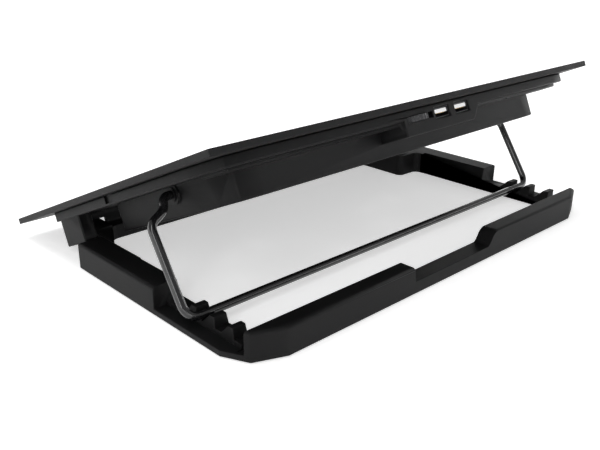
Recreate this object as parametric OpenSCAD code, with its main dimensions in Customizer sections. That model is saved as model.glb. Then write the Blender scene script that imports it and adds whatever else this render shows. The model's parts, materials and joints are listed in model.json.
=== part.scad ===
// Laptop cooling pad: a ring-shaped base, a tilting deck with two fans under a
// mesh, and a bent-rod stand whose bar stands in the notches of the base.
// Millimetres, +Z up, origin at the centre of the footprint, on the table.

/* [Deck] */
// Width of the deck plate
deck_w = 340; // [330:1:420]
// Depth of the deck plate, front edge to back edge
deck_d = 240; // [240:1:300]
// Thickness of the deck plate
plate_t = 3.8; // [3:0.1:5]
// Tilt of the deck as it stands
tilt = 23.9; // [22:0.1:26]
// Width of the mesh opening
mesh_w = 252; // [180:1:260]
// Depth of the mesh opening
mesh_d = 128; // [100:1:140]
// Thickness of the mesh sheet
mesh_t = 1; // [0.6:0.1:1.4]

/* [Tray] */
// Overhang of the plate past the tray at each side
side_overhang = 8.5; // [5:0.5:14]
// Overhang of the plate past the tray at the back
back_overhang = 7.2; // [5:0.1:14]
// Depth of the shallow tier below the top of the plate
tier_w = 9.8; // [9:0.1:11]
// Depth of the fan box below the top of the plate
box_w = 27.3; // [27:0.1:30]
// Wall of the tray
wall = 2; // [1.6:0.1:2.4]
// Length of the fan box, front to back
box_len = 123.8; // [122:0.1:140]

/* [Base] */
// Height of the base frame
base_h = 17.7; // [17:0.1:20]
// Thickness of the back bar, front to back
bar_t = 11.2; // [9:0.1:14]
// Height of the low middle of the back bar
bar_low_h = 8.8; // [7:0.1:12]
// How far the feet stand proud
foot_proud = 0.6; // [0.4:0.1:1.5]
// Distance between two notches
notch_pitch = 15.6; // [14:0.1:15.6]

/* [Stand] */
// Diameter of the rod
rod_d = 5; // [4:0.1:5.4]
// Bend radius at the foot of an arm
bend_r = 8; // [6:0.5:10]

/* [Fans] */
// Side of the square fan frame
fan_size = 112; // [100:1:112]
// Thickness of a fan
fan_t = 15; // [12:0.5:15]
// Number of blades of a rotor
blades = 9; // [7:1:11]
// Distance from the middle of the pad to a fan's shaft
fan_x = 68; // [60:1:70]

/* [Ports] */
// Distance between the two ports
port_pitch = 19.5; // [18:0.1:22]
// Outer width of a port shell
port_w = 13.1; // [12.8:0.1:13.4]
// Outer height of a port shell
port_h = 5.7; // [5.4:0.1:5.9]
// Radius of the speed wheel
wheel_r = 12.5; // [11.5:0.1:12.7]

/* [Hidden] */
$fn = 48;
eps = 0.05;

// Running and seating clearances
seat = 0.3;          // between pieces that are laid in place
run = 0.05;          // radial, of a pin or rod in its bore

// The hinge of the deck, measured on the deck: from its front edge, and below its top
hinge_s = 42;
hinge_w = 20;
hinge_z = 11.5;      // height of the hinge above the table
pin_d = 4;
pin_len = 26;
ear_gap = 0.9;       // between an ear of the tray and the tongue of the base

// The base, measured forward from its back face
base_w = deck_w - 9;
hinge_to_back = deck_d - 47.1;
footprint_d = hinge_to_back + hinge_s * cos(tilt) + (hinge_w) * sin(tilt);
back_y = footprint_d / 2;
hinge_y = back_y - hinge_to_back;
rail_len = hinge_to_back - 28.3;    // the wide rails, back face to their front ends
rail_front_y = back_y - rail_len;
base_x = base_w / 2;
rail_in_x = base_x - 20.1;       // inner wall of a rail at the table
rail_draft = 3.9;                // how much wider the opening is at the top
tongue_x = deck_w / 2 - side_overhang - 11.7 - ear_gap;
tongue_w = 24;
front_bar_d = 11.4;
front_bar_h = 10.5;
front_h = 14.3;
base_bottom = foot_proud;
block_y = back_y - 81.7;         // rear face of the tall part of a rail
rack_x = base_x - 8.9;           // outer face of the toothed wall
rack_t = 9.6;
rim_h = 4.2;
bar_y = back_y - bar_t;          // inner face of the back bar
tooth_h = 13.1;
tooth_top = 4.1;
seat_z = 6.7;                    // the floor of the notches

// The stand: its bar stands in the second notch
bar_rest_y = back_y - 51.5;
bar_rest_z = seat_z + rod_d / 2;
pivot_s = deck_d - 81;
pivot_w = 14;
arm_x = base_x - 1.2;
arm_straight = 53.5;
neck_x = deck_w / 2 - side_overhang - 8.2;
neck_start = 59;
rod_end_x = neck_x - 14.3;

// Places on the deck: s runs back from its front edge, w down from its top
function yy(s) = s - hinge_s;
function zz(w) = hinge_w - w;
function world(s, w) = [hinge_y + yy(s) * cos(tilt) - zz(w) * sin(tilt),
    hinge_z + yy(s) * sin(tilt) + zz(w) * cos(tilt)];
pivot = world(pivot_s, pivot_w);
arm_lean = atan2(bar_rest_y - pivot[0], pivot[1] - bar_rest_z);

tier_x = deck_w / 2 - side_overhang;
tier_front = 38;
tier_back = deck_d - back_overhang;
box_x = tier_x - 17.4;
box_draft = 1.4;
box_front = tier_back - 20.2 - box_len;
box_back = tier_back - 20.2;
box_mid = (box_front + box_back) / 2;
plinth_w = tier_w + 2.1;
ear_x0 = tier_x - 11.7;
ear_x1 = tier_x - 2.5;
ear_back = 68;
rotor_top_w = box_w - wall - 1.5 - fan_t;
fan_bore_r = fan_size / 2 - 4;
hub_r = 19;
shaft_r = 1.5;
port_x0 = -5.1;
port_mid_w = 9.6;
port_depth = 14;
panel_x0 = -41.5;
panel_x1 = 30.5;
panel_w = 19.2;
board_w = port_mid_w + port_h / 2 + eps;
board_t = 1.6;
board_s0 = box_back + 0.6;
board_s1 = tier_back - wall - 0.6;
wheel_x = 15.6;
wheel_t = 3.4;
wheel_s = tier_back + 2.2 - wheel_r;
window_w = 23.2;
window_h = 3.8;
screw_d = 2.6;
mesh_mid = box_mid;
tray_screw_places = [[140, 50], [152, 100], [150, 196], [60, 50], [80, tier_back - 7]];
fan_screw_off = fan_size / 2 - 4.5;

// ---------- shared shapes ----------
module both() {
    children();
    mirror([1, 0, 0]) children();
}

module on_deck() {
    translate([0, hinge_y, hinge_z]) rotate([tilt, 0, 0]) children();
}

// A flat piece of the deck between two depths below its top
module slab(w0, w1) {
    translate([0, 0, zz(w1)]) linear_extrude(w1 - w0) children();
}

// Outline with a straight front and two-step back corners
function arc_pts(cx, cy, r, a0, a1, n) =
    [for (i = [0 : n]) [cx + r * cos(a0 + (a1 - a0) * i / n), cy + r * sin(a0 + (a1 - a0) * i / n)]];
function right_half(hx, y0, y1, c, t, r) = concat(
    arc_pts(hx - t - r, y0 + t + r, r, -90, 0, 6),
    [[hx - t, y1 - c[0] - t * 0.6],
     [hx - t - c[1], y1 - c[2] - t],
     [hx - t - c[3] + t * 0.4, y1 - t]]);
function flip(p) = [for (i = [len(p) - 1 : -1 : 0]) [-p[i][0], p[i][1]]];
module stepped_plan(hx, y0, y1, c, t = 0, r = 2) {
    half = right_half(hx, y0, y1, c, t, r);
    polygon(concat(half, flip(half)));
}

tier_corner = [27.8, 6.8, 5.8, 27.5];
box_corner = [19.2, 7.2, 4.8, 25.4];
base_corner = [23.3, 7.3, 7.7, 26];

module tier_plan(t = 0) stepped_plan(tier_x, yy(tier_front), yy(tier_back), tier_corner, t, 3.5);
module box_plan(t = 0) stepped_plan(box_x, yy(box_front), yy(box_back), box_corner, t, 6);

// The fan box, drafted on its two sides and its back
module box_body(t, w0, w1) {
    intersection() {
        slab(w0, w1) box_plan(t);
        rotate([90, 0, 0]) translate([0, 0, -deck_d]) linear_extrude(2 * deck_d)
            polygon([[-(box_x - t), zz(tier_w)], [-(box_x - t - box_draft), zz(box_w)],
                [box_x - t - box_draft, zz(box_w)], [box_x - t, zz(tier_w)],
                [box_x - t, zz(0)], [-(box_x - t), zz(0)]]);
        rotate([90, 0, 90]) translate([0, 0, -deck_w / 2]) linear_extrude(deck_w)
            polygon([[yy(box_front) + t, zz(tier_w)], [yy(box_front) + t + box_draft, zz(box_w)],
                [yy(box_back) - t - box_draft, zz(box_w)], [yy(box_back) - t, zz(tier_w)],
                [yy(box_back) - t, zz(0)], [yy(box_front) + t, zz(0)]]);
    }
}

// A straight length of round rod between two points
module bar_between(a, b, r) {
    v = b - a;
    translate(a) rotate([0, acos(v[2] / norm(v)), atan2(v[1], v[0])]) cylinder(h = norm(v), r = r, $fn = 24);
}

// A flat lead along a list of points, each straight on from the last
module lead_path(points, half) {
    for (i = [0 : len(points) - 2]) {
        a = points[i];
        b = points[i + 1];
        low = [for (k = [0 : 2]) min(a[k], b[k]) - half];
        size = [for (k = [0 : 2]) abs(a[k] - b[k]) + 2 * half];
        translate(low) cube(size);
    }
}

module pin_hole(x, s, w, len, r) {
    translate([x, yy(s), zz(w)]) rotate([0, 90, 0]) cylinder(h = len, r = r);
}

// ---------- base ----------
module base_plan() {
    front_y = hinge_y - 8.5;
    half = [[tongue_x, front_y], [tongue_x, rail_front_y], [base_x, rail_front_y],
        [base_x, back_y - base_corner[0]], [base_x - base_corner[1], back_y - base_corner[2]],
        [base_x - base_corner[3], back_y]];
    polygon(concat(half, flip(half)));
}

// One half of the opening: narrow at the tongue, widening by an S-bend to the rail
function opening_half(narrow_x, corner_r, rail_r) = let (neck_y = back_y - 147.5, r = 5,
        front_y = hinge_y - 8.5 + front_bar_d)
    concat(arc_pts(narrow_x - corner_r, front_y + corner_r, corner_r, -90, 0, 6),
        arc_pts(narrow_x + r, neck_y - r, r, 180, 90, 6),
        arc_pts(rail_in_x - rail_r, neck_y + rail_r, rail_r, -90, 0, 6),
        [[rail_in_x, bar_y]]);
narrow_left = tongue_x - tongue_w;
narrow_right = tongue_x - tongue_w + 5;
module opening_plan() polygon(concat(opening_half(narrow_right, 7, 0.4), flip(opening_half(narrow_left, 3, 5))));

// On the right the inner side of the tongue slopes down from the rail to the table
module right_slope_cut() {
    y0 = hinge_y - 8.5 + front_bar_d + 6;
    y1 = back_y - 147;
    translate([0, y1, 0]) rotate([90, 0, 0]) linear_extrude(y1 - y0)
        polygon([[narrow_right - eps, base_bottom + 0.4], [rail_in_x + rail_draft, base_h],
            [rail_in_x + rail_draft, base_h + 2], [narrow_right - eps, base_h + 2]]);
}

module rail_draft_cut(len) {
    translate([0, bar_y, 0]) rotate([90, 0, 0]) linear_extrude(len)
        polygon([[rail_in_x - eps, base_bottom], [rail_in_x + rail_draft, base_h],
            [rail_in_x + rail_draft, base_h + 1], [rail_in_x - eps, base_h + 1]]);
}

// Side view of the toothed wall, cut away above it: ramps face the front of the pad
function tooth_side(i) = let (rear = bar_rest_y - rod_d / 2 - seat + i * notch_pitch,
        rise = tooth_h - seat_z)
    [[rear - tooth_top - rise, seat_z], [rear - tooth_top, tooth_h], [rear, tooth_h], [rear, seat_z]];
module rack_cut() {
    top = base_h + 1;
    x0 = base_x - 40;
    outline = concat([[bar_y, seat_z], [bar_y, top], [block_y, top], [block_y, seat_z]],
        tooth_side(0), tooth_side(1), tooth_side(2));
    translate([x0, 0, 0]) rotate([90, 0, 90]) linear_extrude(41) polygon(outline);
}

module low_middle_cut() {
    x0 = -33;
    x1 = 40.4;
    r = 4;
    top = base_h + 1;
    rise = concat(arc_pts(x0 - 0.4, bar_low_h + r, r, -90, -160, 6),
        arc_pts(x0 - 12.6, base_h - r * 2, r * 2, 20, 90, 6));
    translate([0, back_y + 1, 0]) rotate([90, 0, 0]) linear_extrude(bar_t + 2)
        polygon(concat([[x1 - 1.5, bar_low_h]], rise, [[x0 - 12.6, top], [x1, top], [x1, base_h]]));
}

// Hollows under the base, with ribs left between them
module base_hollows() {
    depth = 9;
    count = 3;
    pitch = 24;
    for (i = [0 : count - 1])
        translate([rail_in_x + 3, rail_front_y + 4 + i * pitch, base_bottom - eps])
            cube([14, pitch - 3, depth]);
    for (i = [0 : 4])
        translate([6 + i * 24.5, hinge_y - 5.5, base_bottom - eps]) cube([21.5, front_bar_d - 6, depth - 2]);
    for (i = [0 : 3])
        translate([52 + i * 20, bar_y + 2.4, base_bottom - eps]) cube([17.6, bar_t - 4.8, depth]);
}

foot_size = [10, 24];
foot_places = [[base_x - 10, rail_front_y + 86], [tongue_x - 12, hinge_y + 24]];

module base_frame() color([0.06, 0.06, 0.065]) difference() {
    translate([0, 0, base_bottom]) linear_extrude(base_h - base_bottom) difference() {
        base_plan();
        opening_plan();
    }
    rail_draft_cut(bar_y - back_y + 150);
    mirror([1, 0, 0]) rail_draft_cut(bar_y - back_y + 141);
    // the front bar and the ends of the tongues are lower
    translate([-deck_w / 2, hinge_y - 10, front_h]) cube([deck_w, 20, 10]);
    translate([-narrow_left, hinge_y - 10, front_bar_h]) cube([narrow_left + narrow_right, 20, 10]);
    right_slope_cut();
    // room for the arms, outside the toothed walls
    both() translate([rack_x, block_y, rim_h]) cube([20, bar_y - block_y, base_h]);
    both() rack_cut();
    both() translate([rack_x - 2.2, bar_y - 5.4, seat_z - 3]) cube([5, 1.6, 10]);
    low_middle_cut();
    both() translate([tongue_x + 1 - pin_len + 8, hinge_y, hinge_z]) rotate([0, 90, 0])
        cylinder(h = pin_len, r = pin_d / 2);
    both() base_hollows();
}

module base_feet() color([0.03, 0.03, 0.03]) both() {
    for (p = foot_places)
        translate([p[0] - foot_size[0] / 2, p[1] - foot_size[1] / 2, 0])
            cube([foot_size[0], foot_size[1], foot_proud]);
}

module hinge_pins() color("silver") both()
    translate([tongue_x + 1 - pin_len + 8, hinge_y, hinge_z]) rotate([0, 90, 0])
        cylinder(h = pin_len - 1.2, r = pin_d / 2);

// ---------- deck ----------
module mesh_hole_plan(grow = 0) {
    translate([-(mesh_w / 2 + grow), yy(mesh_mid) - mesh_d / 2 - grow])
        square([mesh_w + 2 * grow, mesh_d + 2 * grow]);
}

module deck_plan() {
    r = 0.8;
    half = concat(arc_pts(deck_w / 2 - r, yy(0) + r, r, -90, 0, 4),
        arc_pts(deck_w / 2 - r, yy(deck_d) - r, r, 0, 90, 4));
    polygon(concat(half, flip(half)));
}

module screw_cores(r, w0, w1) {
    both() for (p = tray_screw_places)
        translate([p[0], yy(p[1]), zz(w1)]) cylinder(h = w1 - w0, r = r, $fn = 24);
}

stop_x = 92;
stop_w = 34;
stop_d = 6;
stop_h = 4.5;
stop_s = 5;
grip_h = 0.8;
grip_w = 118;

module deck_plate() color([0.05, 0.05, 0.055]) on_deck() difference() {
    slab(0, plate_t) deck_plan();
    slab(mesh_t + seat / 2, plate_t + 1) mesh_hole_plan();
    slab(-1, mesh_t + seat / 2) mesh_hole_plan(4);
    screw_cores(screw_d / 2, plate_t - 2, plate_t + 1);
    // stepped seats for the grips and stops
    both() translate([20, yy(deck_d - 20), zz(0.6)]) cube([grip_w, 8, 2]);
    both() translate([stop_x - stop_w / 2 + 6, yy(stop_s) + 1.5, zz(plate_t - 1)]) cube([stop_w - 12, 3, 5]);
}

module mesh_panel() color([0.03, 0.03, 0.03]) on_deck() {
    nx = 20;
    ny = 12;
    px = (mesh_w - 6) / nx;
    py = (mesh_d - 6) / ny;
    translate([0, 0, zz(mesh_t + seat / 2)]) linear_extrude(mesh_t) difference() {
        mesh_hole_plan(4 - seat);
        for (i = [0 : nx - 1], j = [0 : ny - 1])
            translate([-mesh_w / 2 + 3 + (i + 0.5) * px, yy(mesh_mid) - mesh_d / 2 + 3 + (j + 0.5) * py])
                circle(d = py - 3, $fn = 6);
    }
}

module grip_strips() color([0.02, 0.02, 0.02]) on_deck() both()
    translate([20 + seat / 2, yy(deck_d - 20) + seat / 2, zz(0.6)])
        cube([grip_w - seat, 8 - seat, 0.6 + grip_h]);

module laptop_stops() color([0.03, 0.03, 0.03]) on_deck() both() {
    translate([stop_x - stop_w / 2, yy(stop_s), zz(0)]) cube([stop_w, stop_d, stop_h]);
    translate([stop_x - stop_w / 2 + 6 + seat / 2, yy(stop_s) + 1.5 + seat / 2, zz(plate_t - 1)])
        cube([stop_w - 12 - seat, 3 - seat, plate_t - 1 + eps]);
}

// ---------- tray under the deck ----------
// The block that holds the ports, hanging from the tier at the back
module panel_side(t, w1) {
    rotate([90, 0, 0]) translate([0, 0, -yy(tier_back) + t]) linear_extrude(tier_back - box_back + 4 - t)
        polygon([[panel_x0 + t, zz(tier_w - 4)], [panel_x0 + t, zz(panel_w - 7.5 - t)],
            [panel_x0 + 6.8 + t, zz(w1)], [panel_x1 - t, zz(w1)], [panel_x1 - t, zz(tier_w - 4)]]);
}

module ear_block() {
    difference() {
        slab(tier_w - 1, box_w) translate([ear_x0, yy(tier_front)])
            polygon(concat(arc_pts(ear_x1 - ear_x0 - 4, 4, 4, -90, 0, 6),
                [[ear_x1 - ear_x0, ear_back - tier_front], [0, ear_back - tier_front], [0, 0]]));
        // the front face leans back a little
        translate([0, yy(tier_front), zz(tier_w)]) rotate([-15.6 + 2, 0, 0]) translate([ear_x0 - 1, -20, -40])
            cube([20, 20, 40]);
        pin_hole(ear_x0 - 1, hinge_s, hinge_w, 9, pin_d / 2 + run);
    }
}

// Wall between the ears: deep in the middle, shallower where it passes over the tongues
module front_wall() {
    slab(tier_w - 1, 14.6) translate([-ear_x0 - 1, yy(39.5)]) square([2 * ear_x0 + 2, 3]);
    slab(tier_w - 1, 18.8) translate([1.4 - narrow_left, yy(39.5)])
        square([narrow_left + narrow_right - 2.8, 3]);
}

module grille_seat(r, w0, w1) {
    for (x = [-fan_x, fan_x]) translate([x, yy(box_mid), zz(w1)]) cylinder(h = w1 - w0, r = r);
}

module stand_boss(x0, x1, r) {
    both() translate([x0, yy(pivot_s), zz(pivot_w)]) rotate([0, 90, 0]) cylinder(h = x1 - x0, r = r);
}

module post_grid(r, w0, w1) {
    for (x = [-fan_x, fan_x], i = [-1, 1], j = [-1, 1])
        translate([x + i * fan_screw_off, yy(box_mid) + j * fan_screw_off, zz(w1)])
            cylinder(h = w1 - w0, r = r, $fn = 24);
}

board_post_places = [for (x = [-31, -15, 0]) [x, board_s0 + 3.4]];
module board_posts(r, w0, w1) {
    for (p = board_post_places) translate([p[0], yy(p[1]), zz(w1)]) cylinder(h = w1 - w0, r = r, $fn = 24);
}

module port_openings() {
    for (i = [0, 1])
        translate([port_x0 - i * port_pitch - port_w / 2 - seat, yy(tier_back) - wall - 1,
                zz(port_mid_w + port_h / 2 + seat)])
            cube([port_w + 2 * seat, wall + 2, port_h + 2 * seat]);
    translate([wheel_x - window_w / 2, yy(tier_back) - wall - 1, zz(port_mid_w + 0.15 + window_h / 2)])
        cube([window_w, wall + 2, window_h]);
}

module under_tray() color([0.055, 0.055, 0.06]) on_deck() difference() {
    union() {
        difference() {
            union() {
                slab(plate_t, tier_w) tier_plan();
                intersection() {
                    slab(tier_w - 1, plinth_w) tier_plan(4.2);
                    translate([-deck_w / 2, yy(tier_back - 26), zz(plinth_w)]) cube([deck_w, 40, 10]);
                }
                box_body(0, tier_w - 1, box_w);
                panel_side(0, panel_w);
            }
            slab(plate_t - 1, tier_w - wall) tier_plan(wall);
            box_body(wall, plate_t, box_w - wall);
            panel_side(wall, panel_w - wall);
        }
        both() ear_block();
        front_wall();
        // screw posts reach up to the plate
        intersection() {
            screw_cores(3.6, plate_t, tier_w);
            slab(plate_t, tier_w) tier_plan();
        }
        post_grid(3.2, box_w - wall - 1.5, box_w - wall + eps);
        board_posts(2.4, board_w + board_t, panel_w - wall + eps);
        stand_boss(box_x - wall - 1, box_x + 0.8, 6);
    }
    screw_cores(screw_d / 2, plate_t - 1, tier_w + 1);
    screw_cores(2.7, tier_w - 1.6, plinth_w + 1);
    post_grid(screw_d / 2, box_w - wall - 2, box_w + 1);
    post_grid(2.5, box_w - 1.4, box_w + 1);
    board_posts(0.9, board_w, panel_w - wall);
    grille_seat(fan_bore_r + 0.6, box_w - wall - 1, box_w + 1);
    grille_seat(fan_bore_r + 2, box_w - 1, box_w + 1);
    stand_boss(box_x - 6, box_x + 4, 3.5 + run);
    port_openings();
    // shallow notches in the sides of the tier
    both() translate([tier_x - 1.2, yy(114), zz(tier_w - 1.2)]) cube([3, 9, 8]);
}

module tray_screws() color("dimgray") on_deck() {
    screw_cores(screw_d / 2, plate_t - 2, tier_w - 1.6);
    both() for (p = tray_screw_places)
        translate([p[0], yy(p[1]), zz(tier_w - 0.1)]) difference() {
            cylinder(h = 1.5, r = 2.4, $fn = 24);
            translate([-1.6, -0.3, -1]) cube([3.2, 0.6, 1.6]);
            translate([-0.3, -1.6, -1]) cube([0.6, 3.2, 1.6]);
        }
}

// ---------- fans ----------
module at_fan(side) on_deck() translate([side * fan_x, yy(box_mid), 0]) children();

module ring(r0, r1, w0, w1, fn = 48) {
    translate([0, 0, zz(w1)]) difference() {
        cylinder(h = w1 - w0, r = r1, $fn = fn);
        translate([0, 0, -1]) cylinder(h = w1 - w0 + 2, r = r0, $fn = fn);
    }
}

fan_w0 = rotor_top_w;
fan_w1 = rotor_top_w + fan_t;
hub_plate_w = fan_w1 - 2;

module intake_grille(side) color([0.05, 0.05, 0.05]) at_fan(side) {
    ring_w = 1.8;
    rings = 6;
    difference() {
        union() {
            ring(fan_bore_r - 2, fan_bore_r + 0.6 - seat / 2, box_w - wall, box_w - 1);
            ring(fan_bore_r - 2, fan_bore_r + 2 - seat / 2, box_w - 1, box_w);
            for (i = [1 : rings]) ring(10 + i * 6, 10 + i * 6 + ring_w, box_w - wall, box_w);
            for (a = [0 : 45 : 315]) rotate([0, 0, a])
                translate([8, -1.1, zz(box_w)]) cube([fan_bore_r - 9, 2.2, wall]);
            translate([0, 0, zz(box_w)]) cylinder(h = wall, r = 9);
        }
        translate([0, 0, zz(box_w) - 1]) cylinder(h = 1.6, r = 6);
    }
}

module fan_frame(side) color([0.07, 0.07, 0.07]) at_fan(side) difference() {
    union() {
        difference() {
            translate([-fan_size / 2, -fan_size / 2, zz(fan_w1)]) cube([fan_size, fan_size, fan_t]);
            translate([0, 0, zz(fan_w1) - 1]) cylinder(h = fan_t + 2, r = fan_bore_r);
            // the middle of each side is thinned, as on a moulded frame
            for (a = [0 : 90 : 270]) rotate([0, 0, a])
                translate([fan_size / 2 - 1.6, -30, zz(fan_w1) + 2.5]) cube([5, 60, fan_t - 5]);
        }
        for (a = [45 : 90 : 315]) rotate([0, 0, a])
            translate([10, -2.2, zz(fan_w1)]) cube([fan_bore_r - 9, 4.4, 2]);
        translate([0, 0, zz(fan_w1)]) cylinder(h = 2, r = 17);
    }
    for (i = [-1, 1], j = [-1, 1])
        translate([i * fan_screw_off, j * fan_screw_off, zz(fan_w1) - 1]) cylinder(h = fan_t + 2, r = screw_d / 2, $fn = 24);
    translate([0, 0, zz(fan_w1) - 1]) cylinder(h = 5, r = 3);
}

// One blade: a slice of a tilted tube wall, kept between the hub and the tip
module blade() {
    chord = 23;
    curve_r = 44;
    thick = 1.3;
    lean = 34;
    intersection() {
        ring(hub_r - 0.6, fan_bore_r - 1.6, fan_w0 + 1.2, fan_w1 - 3.2);
        translate([0, 0, zz((fan_w0 + fan_w1) / 2 - 1)]) rotate([lean, 0, 0])
            translate([0, 0, -curve_r]) rotate([0, 90, 0]) difference() {
                cylinder(h = fan_bore_r, r = curve_r, $fn = 96);
                translate([0, 0, -1]) cylinder(h = fan_bore_r + 2, r = curve_r - thick, $fn = 96);
            }
        translate([hub_r - 1, -chord / 2, zz(fan_w1)]) cube([fan_bore_r, chord, fan_t]);
    }
}

module fan_rotor(side) color([0.08, 0.08, 0.085]) at_fan(side) {
    ring(hub_r - 1.4, hub_r, fan_w0 + 0.6, fan_w1 - 3, 64);
    ring(shaft_r, hub_r, fan_w0 + 0.6, fan_w0 + 2, 64);
    for (i = [0 : blades - 1]) rotate([0, 0, i * 360 / blades]) blade();
}

module rotor_magnet(side) color([0.2, 0.2, 0.2]) at_fan(side)
    ring(hub_r - 2.9, hub_r - 1.4, fan_w0 + 3.5, fan_w1 - 4, 64);

module fan_shaft(side) color("silver") at_fan(side)
    translate([0, 0, zz(fan_w1 - 2)]) cylinder(h = fan_t - 2.6, r = shaft_r);

module fan_bearing(side) color("goldenrod") at_fan(side) difference() {
    ring(shaft_r + 0.03, 3, fan_w0 + 3, fan_w1 - 0.2);
    translate([0, 0, zz(fan_w1 - 0.2) - 1]) cylinder(h = 1, r = 0.5);
}

module stator_core(side) color([0.45, 0.45, 0.47]) at_fan(side) difference() {
    union() {
        ring(3, 6, fan_w0 + 4.6, hub_plate_w - 1.6);
        for (a = [0 : 90 : 270]) rotate([0, 0, a]) {
            translate([5, -1.6, zz(fan_w0 + 9)]) cube([7, 3.2, 3]);
            intersection() {
                ring(12, 14.6, fan_w0 + 5.4, fan_w0 + 9.6);
                rotate([0, 0, 45]) translate([0, 0, zz(fan_w0 + 9.6)])
                    rotate([0, 0, -90 + 14]) cube([20, 20, 4.2]);
                rotate([0, 0, -14]) translate([0, 0, zz(fan_w0 + 9.6)]) rotate([0, 0, -17]) cube([20, 20, 4.2]);
            }
        }
    }
}

module stator_coils(side) color([0.72, 0.38, 0.2]) at_fan(side)
    for (a = [0 : 90 : 270]) rotate([0, 0, a])
        translate([6.6, 0, zz(fan_w0 + 10)]) difference() {
            translate([0, -2.9, 0]) cube([4.6, 5.8, 5]);
            translate([-1, -1.6, 1]) cube([7, 3.2, 3]);
        }

module driver_board(side) color([0.05, 0.25, 0.12]) at_fan(side)
    ring(3, 14.5, hub_plate_w - 1, hub_plate_w);

module fan_screws() color("dimgray") on_deck() {
    post_grid(screw_d / 2, fan_w0 + 3, box_w - 1.4);
    post_grid(2.2, box_w - 1.4, box_w - 0.2);
}

lead_half = 0.9;
lead_s = box_mid + fan_size / 2 + 1.8;
lead_w = board_w + board_t + 2;
module fan_lead(side) color([0.5, 0.05, 0.05]) on_deck() {
    x0 = side * 34;
    x1 = side > 0 ? 23 : -27;
    start_w = fan_w1 - 4;
    lead_path([[x0, yy(lead_s - 1.8 + lead_half), zz(start_w)], [x0, yy(lead_s), zz(start_w)],
        [x0, yy(lead_s), zz(lead_w)], [x1, yy(lead_s), zz(lead_w)], [x1, yy(board_s0 + 6), zz(lead_w)],
        [x1, yy(board_s0 + 6), zz(board_w + board_t + lead_half)]], lead_half);
}

// ---------- ports and speed control ----------
module port_board() color([0.04, 0.22, 0.1]) on_deck() difference() {
    translate([panel_x0 + 7.5, yy(board_s0), zz(board_w + board_t)])
        cube([panel_x1 - panel_x0 - wall - 9.5, board_s1 - board_s0, board_t]);
    board_posts(0.9, board_w - 1, board_w + board_t + 1);
    translate([wheel_x, yy(wheel_s), zz(board_w + board_t + 1)]) cylinder(h = board_t + 2, r = 5.2);
}

module port_box(i, x, s0, s1, w0, w1) {
    translate([port_x0 - i * port_pitch + x[0], yy(s0), zz(w1)]) cube([x[1] - x[0], s1 - s0, w1 - w0]);
}

module port_shells() color("silver") on_deck() for (i = [0, 1]) difference() {
    port_box(i, [-port_w / 2, port_w / 2], tier_back - port_depth, tier_back - 0.9,
        port_mid_w - port_h / 2, port_mid_w + port_h / 2);
    port_box(i, [-port_w / 2 + 0.3, port_w / 2 - 0.3], tier_back - port_depth + 2, tier_back + 1,
        port_mid_w - port_h / 2 + 0.3, port_mid_w + port_h / 2 - 0.3);
}

tongue_s0 = tier_back - port_depth + 2;
module port_tongues() color([0.85, 0.85, 0.85]) on_deck() for (i = [0, 1]) {
    port_box(i, [-5.7, 5.7], tongue_s0, tier_back - 1.3, port_mid_w - 2.4, port_mid_w + 0.2);
    port_box(i, [-port_w / 2 + 0.3, port_w / 2 - 0.3], tongue_s0, tongue_s0 + 2,
        port_mid_w - port_h / 2 + 0.3, port_mid_w + port_h / 2 - 0.3);
}

module port_contacts() color("gold") on_deck() for (i = [0, 1], x = [-3.5, -1.1, 1.1, 3.5])
    port_box(i, [x - 0.5, x + 0.5], tongue_s0 + 2.2, tier_back - 2, port_mid_w + 0.2, port_mid_w + 0.4);

module board_screws() color("dimgray") on_deck() {
    board_posts(0.9, board_w, board_w + board_t + 1.2);
    board_posts(1.7, board_w - 0.8, board_w);
}

module speed_wheel() color([0.1, 0.1, 0.1]) on_deck() translate([wheel_x, yy(wheel_s), 0]) difference() {
    translate([0, 0, zz(port_mid_w + 0.15 + wheel_t / 2)]) cylinder(h = wheel_t, r = wheel_r);
    for (a = [0 : 12 : 348]) rotate([0, 0, a])
        translate([wheel_r + 0.35, 0, zz(port_mid_w + 5)]) cylinder(h = 10, r = 0.7, $fn = 16);
    translate([0, 0, zz(port_mid_w + 5)]) cylinder(h = 10, r = 1.5 + 0.02);
}

module speed_control() color([0.12, 0.12, 0.12]) on_deck() translate([wheel_x, yy(wheel_s), 0]) {
    translate([0, 0, zz(board_w + board_t + 1)]) cylinder(h = board_t + 1 + 0.4, r = 5);
    translate([0, 0, zz(board_w)]) cylinder(h = board_w - port_mid_w + wheel_t / 2 - 0.8, r = 1.5);
}

// ---------- stand ----------
module at_stand() translate([0, pivot[0], pivot[1]]) rotate([arm_lean, 0, 0]) children();

corner_fill = 0.03;   // how much fuller than the rod a ball at a corner is

// The rod: its length from pivot to bar, and the two corners of the jog in each arm
rod_len = norm([bar_rest_y - pivot[0], bar_rest_z - pivot[1]]);
jog_low = [arm_x, 0, arm_straight - rod_len];
jog_high = [neck_x, 0, neck_start - rod_len];

// A quarter bend of the rod, starting along +X and ending along +Z
module quarter_bend(r) {
    translate([0, 0, r]) rotate([90, 0, 0]) rotate([0, 0, -90]) rotate_extrude(angle = 90)
        translate([r, 0]) circle(d = rod_d, $fn = 24);
}

module rod_arm() {
    translate([arm_x - bend_r, 0, -rod_len]) quarter_bend(bend_r);
    translate([arm_x, 0, bend_r - rod_len]) cylinder(h = arm_straight - bend_r, d = rod_d, $fn = 24);
    bar_between(jog_low, jog_high, rod_d / 2);
    for (p = [jog_low, jog_high, [neck_x, 0, 0]])
        translate(p) sphere(r = rod_d / 2 + corner_fill, $fn = 24);
    translate(jog_high) cylinder(h = -jog_high[2], d = rod_d, $fn = 24);
    translate([rod_end_x, 0, 0]) rotate([0, 90, 0]) cylinder(h = neck_x - rod_end_x, d = rod_d, $fn = 24);
}

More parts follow.
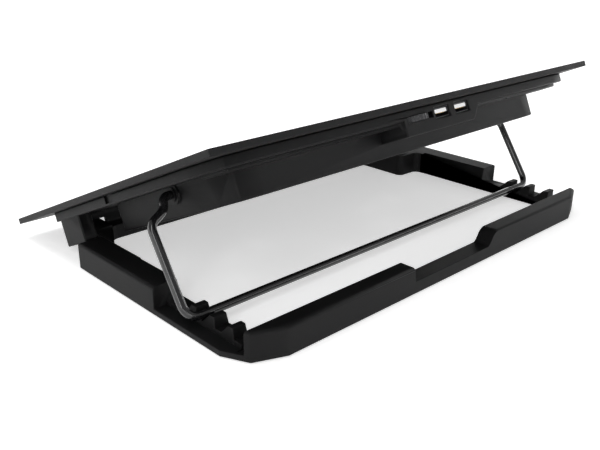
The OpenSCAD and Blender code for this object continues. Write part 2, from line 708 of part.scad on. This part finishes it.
module wire_stand() color([0.09, 0.09, 0.1]) at_stand() {
    both() rod_arm();
    translate([bend_r - arm_x, 0, -rod_len]) rotate([0, 90, 0])
        cylinder(h = 2 * (arm_x - bend_r), d = rod_d, $fn = 24);
}

module stand_bushes() color([0.8, 0.8, 0.78]) on_deck() both()
    translate([0, yy(pivot_s), zz(pivot_w)]) rotate([0, 90, 0]) difference() {
        union() {
            translate([0, 0, box_x - wall - 1.6]) cylinder(h = wall + 2.6, r = 3.5);
            translate([0, 0, box_x + 0.85]) cylinder(h = 0.6, r = 4);
        }
        translate([0, 0, box_x - 10]) cylinder(h = 20, r = rod_d / 2 + run);
    }

module stand_retainers() color("silver") at_stand() both()
    translate([rod_end_x + 0.2, 0, 0]) rotate([0, 90, 0]) difference() {
        cylinder(h = 1, r = 4.4);
        translate([0, 0, -1]) cylinder(h = 3, d = rod_d);
    }

base_frame();
base_feet();
hinge_pins();
deck_plate();
mesh_panel();
grip_strips();
laptop_stops();
under_tray();
tray_screws();
intake_grille(-1);  // intake_grille_left
intake_grille(1);  // intake_grille_right
fan_frame(-1);  // fan_frame_left
fan_frame(1);  // fan_frame_right
fan_rotor(-1);  // fan_rotor_left
fan_rotor(1);  // fan_rotor_right
rotor_magnet(-1);  // rotor_magnet_left
rotor_magnet(1);  // rotor_magnet_right
fan_shaft(-1);  // fan_shaft_left
fan_shaft(1);  // fan_shaft_right
fan_bearing(-1);  // fan_bearing_left
fan_bearing(1);  // fan_bearing_right
stator_core(-1);  // stator_core_left
stator_core(1);  // stator_core_right
stator_coils(-1);  // stator_coils_left
stator_coils(1);  // stator_coils_right
driver_board(-1);  // driver_board_left
driver_board(1);  // driver_board_right
fan_lead(-1);  // fan_lead_left
fan_lead(1);  // fan_lead_right
fan_screws();
port_board();
port_shells();
port_tongues();
port_contacts();
board_screws();
speed_wheel();
speed_control();
stand_bushes();
wire_stand();
stand_retainers();
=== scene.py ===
import json
import math

import bmesh
import bpy
from mathutils import Matrix, Vector


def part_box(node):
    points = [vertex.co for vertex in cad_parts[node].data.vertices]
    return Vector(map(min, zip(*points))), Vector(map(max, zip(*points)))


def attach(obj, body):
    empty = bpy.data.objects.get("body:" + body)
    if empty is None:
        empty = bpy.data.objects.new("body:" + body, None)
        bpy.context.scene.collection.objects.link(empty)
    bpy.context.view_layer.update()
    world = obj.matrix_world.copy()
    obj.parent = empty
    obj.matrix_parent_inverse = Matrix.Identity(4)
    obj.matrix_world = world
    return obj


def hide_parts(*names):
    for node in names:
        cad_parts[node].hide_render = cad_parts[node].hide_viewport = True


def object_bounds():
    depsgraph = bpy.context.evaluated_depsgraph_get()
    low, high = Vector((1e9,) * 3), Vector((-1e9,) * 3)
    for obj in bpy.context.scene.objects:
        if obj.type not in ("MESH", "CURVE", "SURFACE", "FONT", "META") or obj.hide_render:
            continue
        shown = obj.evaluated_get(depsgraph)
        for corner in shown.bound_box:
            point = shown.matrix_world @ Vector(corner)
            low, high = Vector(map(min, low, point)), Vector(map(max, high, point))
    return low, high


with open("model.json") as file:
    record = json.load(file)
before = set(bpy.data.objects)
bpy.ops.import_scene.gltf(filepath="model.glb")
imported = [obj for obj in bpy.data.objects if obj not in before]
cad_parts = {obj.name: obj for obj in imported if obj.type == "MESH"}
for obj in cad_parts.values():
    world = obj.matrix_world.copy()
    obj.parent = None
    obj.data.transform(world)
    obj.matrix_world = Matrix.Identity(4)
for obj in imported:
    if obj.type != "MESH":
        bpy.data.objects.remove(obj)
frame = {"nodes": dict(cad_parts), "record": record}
cad_lo, cad_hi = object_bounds()
MM = 0.001

# The deck's own frame, as the CAD has it: the hinge's place and the tilt of the deck
HINGE_S = 42
HINGE_W = 20
TILT = math.radians(23.9)


def joint_place(name):
    """Where a joint of the record turns, in metres."""
    return Vector(next(j["pos_m"] for j in frame["record"]["behaviour"]["joints"] if j["name"] == name))


# ---------- materials ----------
def shader(name, colour, roughness, metallic=0.0, specular=0.5):
    """A material with its main shader, and its pattern coordinates centred on the pad."""
    m = bpy.data.materials.new(name)
    m.use_nodes = True
    t = m.node_tree
    b = t.nodes["Principled BSDF"]
    b.inputs["Base Color"].default_value = (*colour, 1)
    b.inputs["Roughness"].default_value = roughness
    b.inputs["Metallic"].default_value = metallic
    b.inputs["Specular IOR Level"].default_value = specular
    place = t.nodes.new("ShaderNodeMapping")
    coords = t.nodes.new("ShaderNodeTexCoord")
    centre = (cad_lo + cad_hi) / 2
    place.inputs["Location"].default_value = tuple(-c for c in centre)
    t.links.new(coords.outputs["Object"], place.inputs["Vector"])
    return m, t, b, place


def noise(t, place, scale, detail=3.0, rough=0.5):
    n = t.nodes.new("ShaderNodeTexNoise")
    n.inputs["Scale"].default_value = scale
    n.inputs["Detail"].default_value = detail
    n.inputs["Roughness"].default_value = rough
    t.links.new(place.outputs["Vector"], n.inputs["Vector"])
    return n.outputs["Fac"]


def spread(t, value, lo, hi, from_lo=0.3, from_hi=0.7):
    r = t.nodes.new("ShaderNodeMapRange")
    r.inputs["From Min"].default_value = from_lo
    r.inputs["From Max"].default_value = from_hi
    r.inputs["To Min"].default_value = lo
    r.inputs["To Max"].default_value = hi
    t.links.new(value, r.inputs["Value"])
    return r.outputs["Result"]


def tint(t, b, value, dark, light):
    """Colour that drifts between two shades."""
    mix = t.nodes.new("ShaderNodeMix")
    mix.data_type = "RGBA"
    mix.inputs["A"].default_value = (*dark, 1)
    mix.inputs["B"].default_value = (*light, 1)
    t.links.new(spread(t, value, 0, 1), mix.inputs["Factor"])
    t.links.new(mix.outputs["Result"], b.inputs["Base Color"])


def grain(t, b, heights, strength, depth):
    """Bump from one or more height patterns added together."""
    total = heights[0]
    for h in heights[1:]:
        add = t.nodes.new("ShaderNodeMath")
        t.links.new(total, add.inputs[0])
        t.links.new(h, add.inputs[1])
        total = add.outputs["Value"]
    bump = t.nodes.new("ShaderNodeBump")
    bump.inputs["Strength"].default_value = strength
    bump.inputs["Distance"].default_value = depth
    t.links.new(total, bump.inputs["Height"])
    t.links.new(bump.outputs["Normal"], b.inputs["Normal"])


def spark_plastic(name, dark, light, rough_lo, rough_hi, strength=0.25):
    """Moulded plastic with a spark-eroded grain, slightly uneven in gloss."""
    m, t, b, place = shader(name, dark, rough_lo, specular=0.12)
    broad = noise(t, place, 14, 4)
    fine = noise(t, place, 2600, 2, 0.6)
    pores = noise(t, place, 900, 3, 0.55)
    tint(t, b, broad, dark, light)
    t.links.new(spread(t, broad, rough_lo, rough_hi), b.inputs["Roughness"])
    grain(t, b, [fine, pores], strength, 0.00008)
    return m


def soft_rubber(name, dark, light):
    m, t, b, place = shader(name, dark, 0.75, specular=0.3)
    broad = noise(t, place, 60, 4)
    fine = noise(t, place, 1800, 2)
    tint(t, b, broad, dark, light)
    t.links.new(spread(t, broad, 0.65, 0.85), b.inputs["Roughness"])
    grain(t, b, [fine], 0.35, 0.0001)
    return m


def lacquered_rod():
    """Gloss black lacquer on drawn steel: faint orange peel under a clear coat."""
    m, t, b, place = shader("rod_black_lacquer", (0.004, 0.004, 0.0045), 0.2, specular=0.35)
    peel = noise(t, place, 420, 2)
    broad = noise(t, place, 40, 3)
    tint(t, b, broad, (0.0035, 0.0035, 0.004), (0.006, 0.006, 0.0065))
    t.links.new(spread(t, broad, 0.16, 0.26), b.inputs["Roughness"])
    b.inputs["Coat Weight"].default_value = 0.7
    b.inputs["Coat Roughness"].default_value = 0.1
    grain(t, b, [peel], 0.08, 0.0002)
    return m


def drawn_metal(name, dark, light, rough_lo, rough_hi, stretch=(1, 1, 14), scale=160):
    """Bare metal with drawing lines along one way and a few duller patches."""
    m, t, b, place = shader(name, dark, rough_lo, metallic=1.0)
    lines = t.nodes.new("ShaderNodeMapping")
    lines.inputs["Scale"].default_value = stretch
    t.links.new(place.outputs["Vector"], lines.inputs["Vector"])
    streak = noise(t, lines, scale, 4, 0.6)
    broad = noise(t, place, 90, 3)
    tint(t, b, broad, dark, light)
    t.links.new(spread(t, streak, rough_lo, rough_hi), b.inputs["Roughness"])
    grain(t, b, [streak], 0.15, 0.00006)
    return m


def coated_metal(name, dark, light, rough_lo, rough_hi):
    """Thin black coating on metal, with a fine even texture."""
    m, t, b, place = shader(name, dark, rough_lo, specular=0.5)
    broad = noise(t, place, 50, 3)
    fine = noise(t, place, 1500, 2)
    tint(t, b, broad, dark, light)
    t.links.new(spread(t, broad, rough_lo, rough_hi), b.inputs["Roughness"])
    grain(t, b, [fine], 0.2, 0.00006)
    return m


def winding_copper():
    """Enamelled wire laid side by side."""
    m, t, b, place = shader("coil_copper_wire", (0.62, 0.26, 0.12), 0.3, metallic=1.0)
    wave = t.nodes.new("ShaderNodeTexWave")
    wave.bands_direction = "DIAGONAL"
    wave.inputs["Scale"].default_value = 900
    wave.inputs["Distortion"].default_value = 0.4
    t.links.new(place.outputs["Vector"], wave.inputs["Vector"])
    tint(t, b, wave.outputs["Fac"], (0.45, 0.17, 0.07), (0.75, 0.34, 0.17))
    b.inputs["Coat Weight"].default_value = 0.5
    grain(t, b, [wave.outputs["Fac"]], 0.5, 0.0002)
    return m


def solder_mask():
    """Green board lacquer with faint copper tracks under it."""
    m, t, b, place = shader("board_green_lacquer", (0.01, 0.09, 0.035), 0.3)
    tracks = t.nodes.new("ShaderNodeTexBrick")
    tracks.inputs["Scale"].default_value = 160
    tracks.inputs["Mortar Size"].default_value = 0.035
    tracks.inputs["Color1"].default_value = (0.009, 0.085, 0.032, 1)
    tracks.inputs["Color2"].default_value = (0.011, 0.10, 0.040, 1)
    tracks.inputs["Mortar"].default_value = (0.03, 0.17, 0.07, 1)
    t.links.new(place.outputs["Vector"], tracks.inputs["Vector"])
    t.links.new(tracks.outputs["Color"], b.inputs["Base Color"])
    broad = noise(t, place, 80, 3)
    t.links.new(spread(t, broad, 0.22, 0.36), b.inputs["Roughness"])
    grain(t, b, [tracks.outputs["Fac"]], 0.3, 0.00005)
    return m


# ---------- the finishes of this pad ----------
def base_plastic():
    dark = (0.0050, 0.0050, 0.0052)
    light = (0.0070, 0.0070, 0.0073)
    return spark_plastic("base_black_plastic", dark, light, 0.46, 0.56)


def deck_plastic_painted_light():
    # Black plastic painted lighter than the base's, so that the plate's edges carry painted light
    dark = (0.0085, 0.0085, 0.0088)
    light = (0.0115, 0.0115, 0.0118)
    return spark_plastic("deck_black_plastic", dark, light, 0.44, 0.54)


def tray_plastic():
    dark = (0.0045, 0.0045, 0.0047)
    light = (0.0060, 0.0060, 0.0063)
    return spark_plastic("tray_black_plastic", dark, light, 0.40, 0.50)


def fan_plastic():
    return spark_plastic("fan_black_plastic", (0.010, 0.010, 0.011), (0.015, 0.015, 0.016), 0.28, 0.4, 0.12)


def wheel_plastic_painted_sheen():
    """The speed wheel: glossier than what surrounds it, and painted several times lighter, which paints in
    the sheen along its rim.
    """
    return spark_plastic("wheel_dark_plastic", (0.03, 0.03, 0.032), (0.05, 0.05, 0.052), 0.2, 0.3, 0.05)


def tongue_plastic():
    return spark_plastic("port_tongue_plastic", (0.80, 0.80, 0.80), (0.88, 0.88, 0.88), 0.35, 0.45, 0.1)


def bush_plastic():
    dark = (0.004, 0.004, 0.0042)
    light = (0.006, 0.006, 0.0063)
    return spark_plastic("bush_black_plastic", dark, light, 0.4, 0.5, 0.1)


def foot_rubber():
    return soft_rubber("foot_rubber", (0.012, 0.012, 0.012), (0.018, 0.018, 0.018))


def grip_rubber():
    return soft_rubber("grip_rubber", (0.010, 0.010, 0.011), (0.015, 0.015, 0.016))


def magnet_rubber():
    return soft_rubber("magnet_rubber", (0.03, 0.028, 0.026), (0.045, 0.043, 0.04))


def lead_sleeve():
    return soft_rubber("lead_red_sleeve", (0.28, 0.012, 0.012), (0.36, 0.02, 0.02))


def mesh_coat():
    return coated_metal("mesh_black_coat", (0.010, 0.010, 0.010), (0.015, 0.015, 0.015), 0.35, 0.5)


def screw_black():
    return coated_metal("screw_black_oxide", (0.02, 0.02, 0.022), (0.035, 0.035, 0.038), 0.3, 0.45)


def bright_steel():
    return drawn_metal("bright_steel", (0.62, 0.62, 0.64), (0.75, 0.75, 0.76), 0.16, 0.34)


def port_steel_painted_shade():
    """Tinned shells, painted far darker than bare steel: painted shade for the inside of the port block."""
    dark = (0.05, 0.05, 0.055)
    light = (0.09, 0.09, 0.095)
    return drawn_metal("port_shell_steel", dark, light, 0.3, 0.45, stretch=(1, 8, 1))


def core_steel():
    """Stacked sheet: fine lines one above another."""
    dark = (0.30, 0.30, 0.32)
    light = (0.42, 0.42, 0.43)
    return drawn_metal("core_sheet_steel", dark, light, 0.3, 0.5, stretch=(1, 1, 30), scale=300)


def bearing_brass():
    return drawn_metal("bearing_brass", (0.60, 0.42, 0.16), (0.72, 0.52, 0.22), 0.25, 0.4)


def contact_gold():
    return drawn_metal("contact_gold", (0.80, 0.56, 0.20), (0.90, 0.66, 0.27), 0.15, 0.25)


# Which finish each node wears; a left and a right one wear the same
FINISH = {
    base_plastic: ["base_frame"],
    deck_plastic_painted_light: ["deck_plate"],
    tray_plastic: ["under_tray", "intake_grille"],
    fan_plastic: ["fan_frame", "fan_rotor", "speed_control"],
    wheel_plastic_painted_sheen: ["speed_wheel"],
    tongue_plastic: ["port_tongues"],
    bush_plastic: ["stand_bushes"],
    foot_rubber: ["base_feet"],
    grip_rubber: ["grip_strips", "laptop_stops"],
    magnet_rubber: ["rotor_magnet"],
    lead_sleeve: ["fan_lead"],
    lacquered_rod: ["wire_stand"],
    mesh_coat: ["mesh_panel"],
    screw_black: ["tray_screws", "fan_screws", "board_screws"],
    bright_steel: ["hinge_pins", "fan_shaft", "stand_retainers"],
    port_steel_painted_shade: ["port_shells"],
    core_steel: ["stator_core"],
    bearing_brass: ["fan_bearing"],
    contact_gold: ["port_contacts"],
    winding_copper: ["stator_coils"],
    solder_mask: ["driver_board", "port_board"],
}


def mix_finishes():
    """Makes each finish once and gives it to its nodes."""
    worn = {}
    for make, nodes in FINISH.items():
        material = make()
        for node in nodes:
            worn[node] = material
    return worn


WORN = mix_finishes()


def finish_of(node):
    return WORN[node.replace("_left", "").replace("_right", "")]


# ---------- mouldings: CAD shapes with rounded edges ----------
def merged_copy(node):
    """The node's mesh with its corners joined and its flat faces made whole."""
    bm = bmesh.new()
    bm.from_mesh(frame["nodes"][node].data)
    bmesh.ops.remove_doubles(bm, verts=bm.verts, dist=2e-6)
    bmesh.ops.dissolve_limit(bm, angle_limit=math.radians(1), verts=bm.verts, edges=bm.edges)
    bmesh.ops.recalc_face_normals(bm, faces=bm.faces)
    return bm


def body_of_node(node):
    for body, nodes in frame["record"]["behaviour"]["bodies"].items():
        if node in nodes:
            return body
    raise ValueError(node)


def place_piece(bm, name, node):
    me = bpy.data.meshes.new(name)
    bm.to_mesh(me)
    bm.free()
    o = bpy.data.objects.new(name, me)
    bpy.context.scene.collection.objects.link(o)
    me.materials.append(finish_of(node))
    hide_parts(node)
    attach(o, body_of_node(node))
    return o


def sharp_edges(bm, longer, angle=32):
    """Outward corners steeper than an angle, leaving out those shorter than a length in mm."""
    between_two = [e for e in bm.edges if len(e.link_faces) == 2 and e.is_convex]
    return [e for e in between_two
            if e.calc_length() > longer * MM and math.degrees(e.calc_face_angle(0)) > angle]


def round_over(bm, edges, radius, segments):
    bmesh.ops.bevel(bm, geom=edges, offset=radius * MM, offset_type="OFFSET", segments=segments,
                    profile=0.5, affect="EDGES", clamp_overlap=False, material=-1)


def smooth_by_angle(o, degrees):
    """Smooth shading up to an angle, with large flat faces kept flat."""
    me = o.data
    me.shade_smooth()
    me.set_sharp_from_angle(angle=math.radians(degrees))
    even = o.modifiers.new("even_shading", "WEIGHTED_NORMAL")
    even.keep_sharp = True


def faces_out(f):
    """True for an upright face that looks away from the middle of the pad."""
    n, c = f.normal, f.calc_center_median()
    return abs(n.z) < 0.2 and n.x * c.x + n.y * c.y > 0.04


# Radii of the rounded edges
BASE_RIM_ROUND = 2.4
BASE_ROUND = 0.5
DECK_ROUND = 0.6
TRAY_ROUND = 1.0


def moulded_base():
    """The ring-shaped base: a full round along its outer top edge, small ones elsewhere."""
    bm = merged_copy("base_frame")
    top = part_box("base_frame")[1][2]
    rim = [e for e in sharp_edges(bm, 3)
           if all(v.co.z > top - 0.2 * MM for v in e.verts) and any(faces_out(f) for f in e.link_faces)]
    round_over(bm, rim, BASE_RIM_ROUND, 4)
    round_over(bm, sharp_edges(bm, 5, 40), BASE_ROUND, 2)
    o = place_piece(bm, "base_frame_moulded", "base_frame")
    smooth_by_angle(o, 38)


def moulded_deck():
    """The deck plate with its long edges eased."""
    bm = merged_copy("deck_plate")
    round_over(bm, sharp_edges(bm, 20), DECK_ROUND, 3)
    o = place_piece(bm, "deck_plate_moulded", "deck_plate")
    smooth_by_angle(o, 38)


def moulded_tray():
    """The tray: soft corners on the tier, the port block, the ears and the fan box."""
    bm = merged_copy("under_tray")
    round_over(bm, sharp_edges(bm, 5, 34), TRAY_ROUND, 3)
    o = place_piece(bm, "under_tray_moulded", "under_tray")
    smooth_by_angle(o, 38)


# ---------- the bent rod ----------
ROD_D = 5
ROD_SIDES = 28
ROD_END_ROUND = 0.6
BEND_STEPS = 8

# One half of the rod from its end to its bar: across from the middle, up from the bar, bend radius.
# "top" stands for the height of the pivot.
ROD_CORNERS = [
    (139, "top", 0),       # the end inside the fan box
    (150.6, "top", 4),     # the neck, just outside the bush
    (153.3, 59.3, 7),      # the upper corner of the jog
    (164.3, 53.5, 7),      # the lower corner of the jog
    (164.3, 0, 8),         # the foot of the arm, where the bar starts
]


class Tube:
    """A round tube pushed along step by step: straight lengths and bends in one plane."""

    def __init__(self, start, way, radius):
        self.bm = bmesh.new()
        self.at, self.way = start, way
        turn = way.to_track_quat("Z", "Y").to_matrix().to_4x4()
        bmesh.ops.create_circle(self.bm, cap_ends=True, segments=ROD_SIDES, radius=radius,
                                matrix=Matrix.Translation(start) @ turn)
        self.rim = list(self.bm.edges)

    def keep_rim(self, made):
        self.rim = [g for g in made if isinstance(g, bmesh.types.BMEdge)]

    def straight(self, length):
        made = bmesh.ops.extrude_edge_only(self.bm, edges=self.rim)["geom"]
        verts = [g for g in made if isinstance(g, bmesh.types.BMVert)]
        bmesh.ops.translate(self.bm, vec=self.way * length, verts=verts)
        self.at = self.at + self.way * length
        self.keep_rim(made)

    def bend(self, way, radius):
        angle = self.way.angle(way)
        axis = self.way.cross(way).normalized()
        centre = self.at + axis.cross(self.way) * radius
        made = bmesh.ops.spin(self.bm, geom=self.rim, cent=centre, axis=axis, angle=angle, steps=BEND_STEPS,
                              use_merge=False, use_duplicate=False)["geom_last"]
        self.at = centre + Matrix.Rotation(angle, 3, axis) @ (self.at - centre)
        self.way = way
        self.keep_rim(made)

    def close(self):
        bmesh.ops.holes_fill(self.bm, edges=self.rim, sides=ROD_SIDES)
        bmesh.ops.recalc_face_normals(self.bm, faces=self.bm.faces)
        return self.bm


def bent_rod():
    """The wire stand as one smooth rod, bent where the CAD rod has its corners."""
    lo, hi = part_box("wire_stand")
    radius = ROD_D / 2 * MM
    pivot = joint_place("stand_swing")
    bar = Vector((0, hi[1] - radius, lo[2] + radius))
    up = (pivot - bar).normalized()
    length = (pivot - bar).length / MM

    def corner(side, x, along, bend):
        rise = length if along == "top" else along
        return bar + Vector((side * x * MM, 0, 0)) + up * (rise * MM), bend * MM

    corners = [corner(1, *c) for c in ROD_CORNERS] + [corner(-1, *c) for c in reversed(ROD_CORNERS)]
    places = [place for place, _ in corners]
    bends = [bend for _, bend in corners]
    ways = [(b - a).normalized() for a, b in zip(places, places[1:])]
    # how much of the lengths beside a corner its bend takes up; the two ends take none
    reach = [0]
    reach += [bend * math.tan(u.angle(v) / 2) for bend, u, v in zip(bends[1:-1], ways, ways[1:])]
    reach += [0]
    tube = Tube(places[0], ways[0], radius)
    for k, way in enumerate(ways):
        if k > 0:
            tube.bend(way, bends[k])
        tube.straight((places[k + 1] - places[k]).length - reach[k] - reach[k + 1])
    bm = tube.close()
    rims = [e for e in bm.edges if any(len(f.verts) == ROD_SIDES for f in e.link_faces)]
    round_over(bm, rims, ROD_END_ROUND, 3)
    o = place_piece(bm, "wire_stand_bent_rod", "wire_stand")
    smooth_by_angle(o, 50)


# ---------- the ports ----------
def deck_block(bm, x, s, w):
    """A box on the deck: ranges across, back from its front edge and down from its top."""
    hinge = joint_place("deck_tilt")
    turn = Matrix.Rotation(TILT, 3, "X")
    made = bmesh.ops.create_cube(bm, size=1)["verts"]
    for v in made:
        q = Vector((x[0] + (v.co.x + 0.5) * (x[1] - x[0]),
                    s[0] + (v.co.y + 0.5) * (s[1] - s[0]) - HINGE_S,
                    HINGE_W - w[1] + (v.co.z + 0.5) * (w[1] - w[0])))
        v.co = hinge + turn @ (q * MM)
    return made


PORT_X = (-5.1, -24.6)
TONGUE_HALF_W = 5.7
TONGUE_REACH = (220.9, 231.4)    # back from the deck's front edge
TONGUE_DEPTHS = (7.5, 9.8)       # down from the deck's top
TONGUE_ROUND = 0.2


def port_tongues():
    """The white tongue inside each port."""
    bm = bmesh.new()
    for x in PORT_X:
        deck_block(bm, (x - TONGUE_HALF_W, x + TONGUE_HALF_W), TONGUE_REACH, TONGUE_DEPTHS)
    round_over(bm, list(bm.edges), TONGUE_ROUND, 2)
    o = place_piece(bm, "port_tongues_rounded", "port_tongues")
    smooth_by_angle(o, 40)


def finish_other_nodes():
    """Gives every node that is shown as it is its own finish."""
    for node, o in frame["nodes"].items():
        if not o.hide_render:
            o.data.materials.clear()
            o.data.materials.append(finish_of(node))


moulded_base()
moulded_deck()
moulded_tray()
bent_rod()
port_tongues()
finish_other_nodes()


# ---------- stage ----------
FLOOR_REACH = 6
WALL_HEIGHT = 1.8


def pale_stage_paint(name, glow):
    """Matt white that also glows a little, so that shade on it stays light."""
    m = bpy.data.materials.new(name)
    m.use_nodes = True
    b = m.node_tree.nodes["Principled BSDF"]
    b.inputs["Base Color"].default_value = (0.9, 0.9, 0.9, 1)
    b.inputs["Roughness"].default_value = 0.9
    b.inputs["Specular IOR Level"].default_value = 0.1
    b.inputs["Emission Color"].default_value = (1, 1, 1, 1)
    b.inputs["Emission Strength"].default_value = glow
    return m


def stage_piece(bm, name, paint):
    me = bpy.data.meshes.new(name)
    bm.to_mesh(me)
    bm.free()
    me.materials.append(paint)
    o = bpy.data.objects.new(name, me)
    bpy.context.scene.collection.objects.link(o)


def pale_floor():
    bm = bmesh.new()
    bmesh.ops.create_grid(bm, x_segments=1, y_segments=1, size=FLOOR_REACH)
    stage_piece(bm, "floor", pale_stage_paint("floor_white", 0.5))


def pale_wall():
    """A round wall at the floor's edge, so that low views end in white."""
    bm = bmesh.new()
    radius = FLOOR_REACH * 0.95
    place = Matrix.Translation((0, 0, WALL_HEIGHT / 2 - 0.02))
    bmesh.ops.create_cone(bm, cap_ends=False, segments=48, radius1=radius, radius2=radius,
                          depth=WALL_HEIGHT, matrix=place)
    stage_piece(bm, "wall", pale_stage_paint("wall_white", 0.9))


def even_air():
    """Pale light from all round."""
    w = bpy.data.worlds.new("studio")
    w.use_nodes = True
    air = w.node_tree.nodes["Background"]
    air.inputs["Color"].default_value = (1, 1, 1, 1)
    air.inputs["Strength"].default_value = 0.45
    bpy.context.scene.world = w
    bpy.context.scene.view_settings.view_transform = "Standard"


def hang_lamp(name, data, place, towards):
    """A lamp at a place, shining along a direction."""
    o = bpy.data.objects.new(name, data)
    o.location = place
    o.rotation_euler = towards.to_track_quat("-Z", "Y").to_euler()
    bpy.context.scene.collection.objects.link(o)


def key_light():
    """One wide soft key from high above, a little to the front."""
    key = bpy.data.lights.new("key", "SUN")
    key.energy = 1.0
    key.angle = math.radians(24)
    hang_lamp("key", key, Vector((0, 0, 0)), -Vector((0.10, -0.33, 1)))


def strip_light():
    """A tall strip beside the camera, for the streaks on the rod."""
    strip = bpy.data.lights.new("strip", "AREA")
    strip.shape = "RECTANGLE"
    strip.size = 0.12
    strip.size_y = 0.7
    strip.energy = 1.6
    place = Vector((0.62, 0.38, 0.5))
    hang_lamp("strip", strip, place, Vector((0.03, 0, 0.05)) - place)


CAMERA_PLACE = Vector((363.15, 361.9, 204.7)) * MM
CAMERA_TURN = 136.431     # degrees round the pad, from its front
CAMERA_RISE = 21.995      # degrees down to the pad
CAMERA_ROLL = 0.448
CAMERA_LENS = 45.72


def camera():
    """The camera behind the pad and to its right, looking at the ports and the stand."""
    turn, rise, roll = (math.radians(a) for a in (CAMERA_TURN, CAMERA_RISE, CAMERA_ROLL))
    back = Vector((math.sin(turn) * math.cos(rise), -math.cos(turn) * math.cos(rise), math.sin(rise)))
    level = Vector((math.cos(turn), math.sin(turn), 0))
    above = back.cross(level)
    right = level * math.cos(roll) + above * math.sin(roll)
    up = above * math.cos(roll) - level * math.sin(roll)
    cam = bpy.data.cameras.new("camera")
    cam.lens = CAMERA_LENS
    cam.sensor_width = 36
    o = bpy.data.objects.new("camera", cam)
    place = Matrix((right, up, back)).transposed().to_4x4()
    place.translation = CAMERA_PLACE
    o.matrix_world = place
    bpy.context.scene.collection.objects.link(o)
    bpy.context.scene.camera = o


pale_floor()
pale_wall()
even_air()
key_light()
strip_light()
camera()
